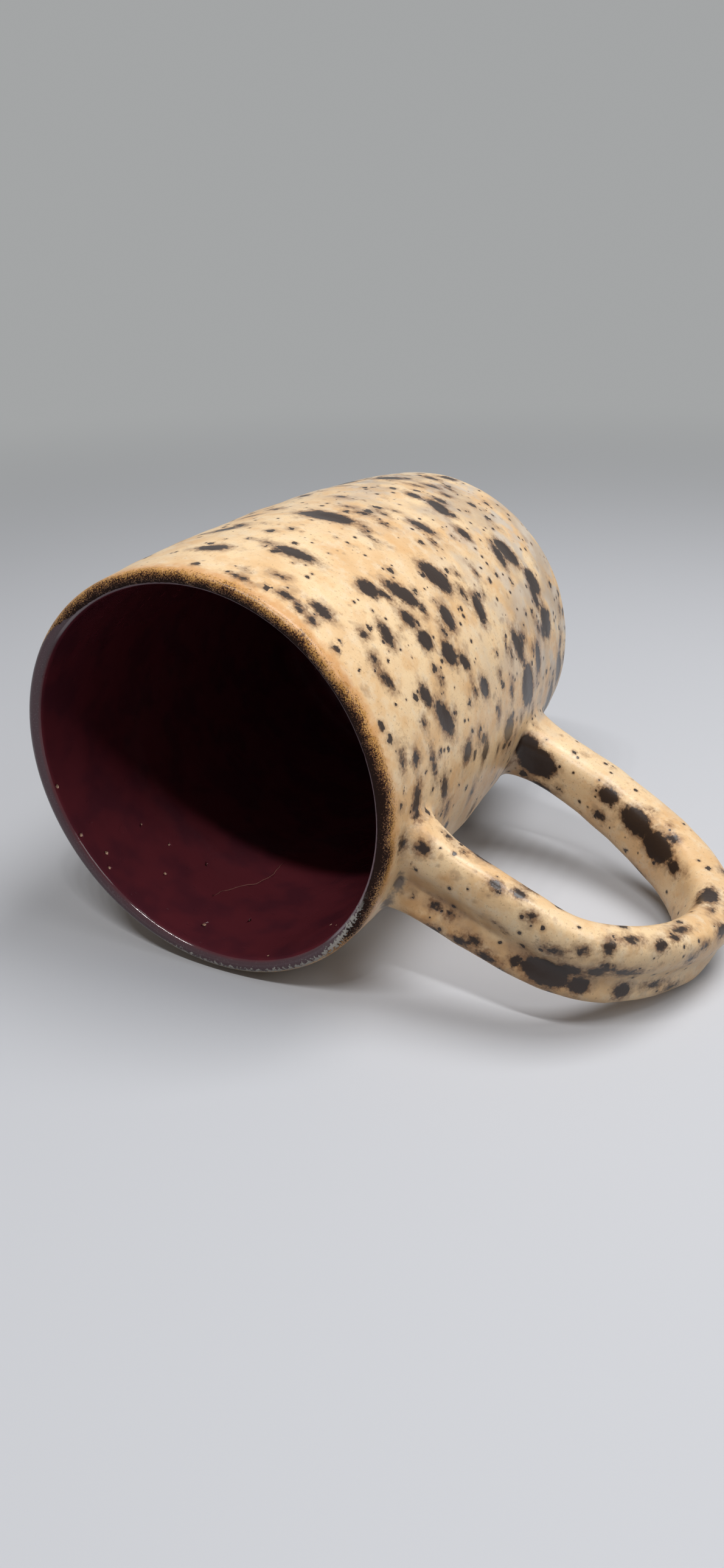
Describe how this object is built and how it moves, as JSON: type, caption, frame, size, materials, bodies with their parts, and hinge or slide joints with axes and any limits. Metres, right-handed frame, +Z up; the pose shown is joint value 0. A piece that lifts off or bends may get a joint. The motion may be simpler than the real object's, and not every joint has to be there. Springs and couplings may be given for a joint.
{
  "type": "cracked mug",
  "caption": "Round stoneware mug with a pulled strap handle, lying on its side, with a cracked and chipped glazed lip.",
  "frame": {"origin": "on the ground, under the middle of the laid mug's box", "axes": "+Z up; the cup's axis lies along Y with its foot towards +Y and its mouth towards -Y; the handle reaches towards +X and rests on the ground"},
  "size_m": [0.1322, 0.105, 0.081],
  "materials": {
    "stoneware": "satin"
  },
  "bodies": {
    "root": {"mug": "stoneware"}
  },
  "joints": []
}
